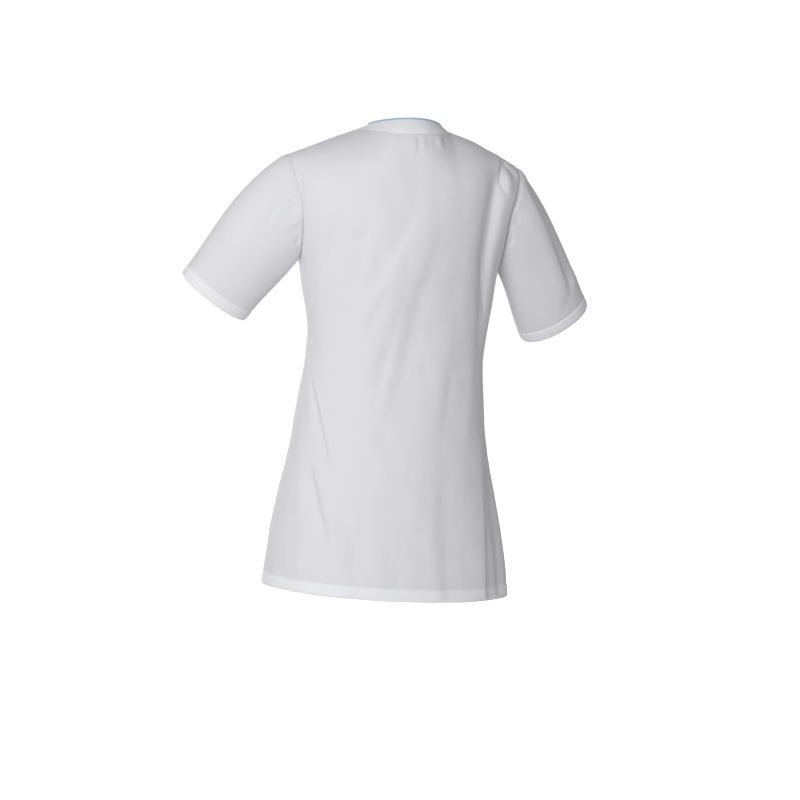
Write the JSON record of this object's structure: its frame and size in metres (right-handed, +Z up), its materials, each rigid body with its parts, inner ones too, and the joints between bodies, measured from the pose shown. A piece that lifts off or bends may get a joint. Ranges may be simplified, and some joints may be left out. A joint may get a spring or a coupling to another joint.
{
  "type": "medical tunic",
  "caption": "White short-sleeved medical tunic with a V neck edged in light blue, hollow and open, filled out as if worn with nobody in it.",
  "frame": {"origin": "The middle of the neck, level with the neck ends of the shoulder seams, where the wearer's shoulders hold the garment.", "axes": "+Z up the garment, from hem to neck. The wearer faces -Y, and the wearer's left side is +X."},
  "size_m": [0.6814, 0.2904, 0.7645],
  "materials": {
    "white_cloth": "matte plain-weave polycotton",
    "blue_piping": "matte bias piping"
  },
  "bodies": {
    "root": {"back": "white_cloth", "front": "white_cloth", "neck_band_back": "white_cloth", "neck_band_front_left": "white_cloth", "neck_band_front_right": "white_cloth", "neck_piping": "blue_piping", "sleeve_left": "white_cloth", "sleeve_right": "white_cloth"}
  },
  "joints": []
}
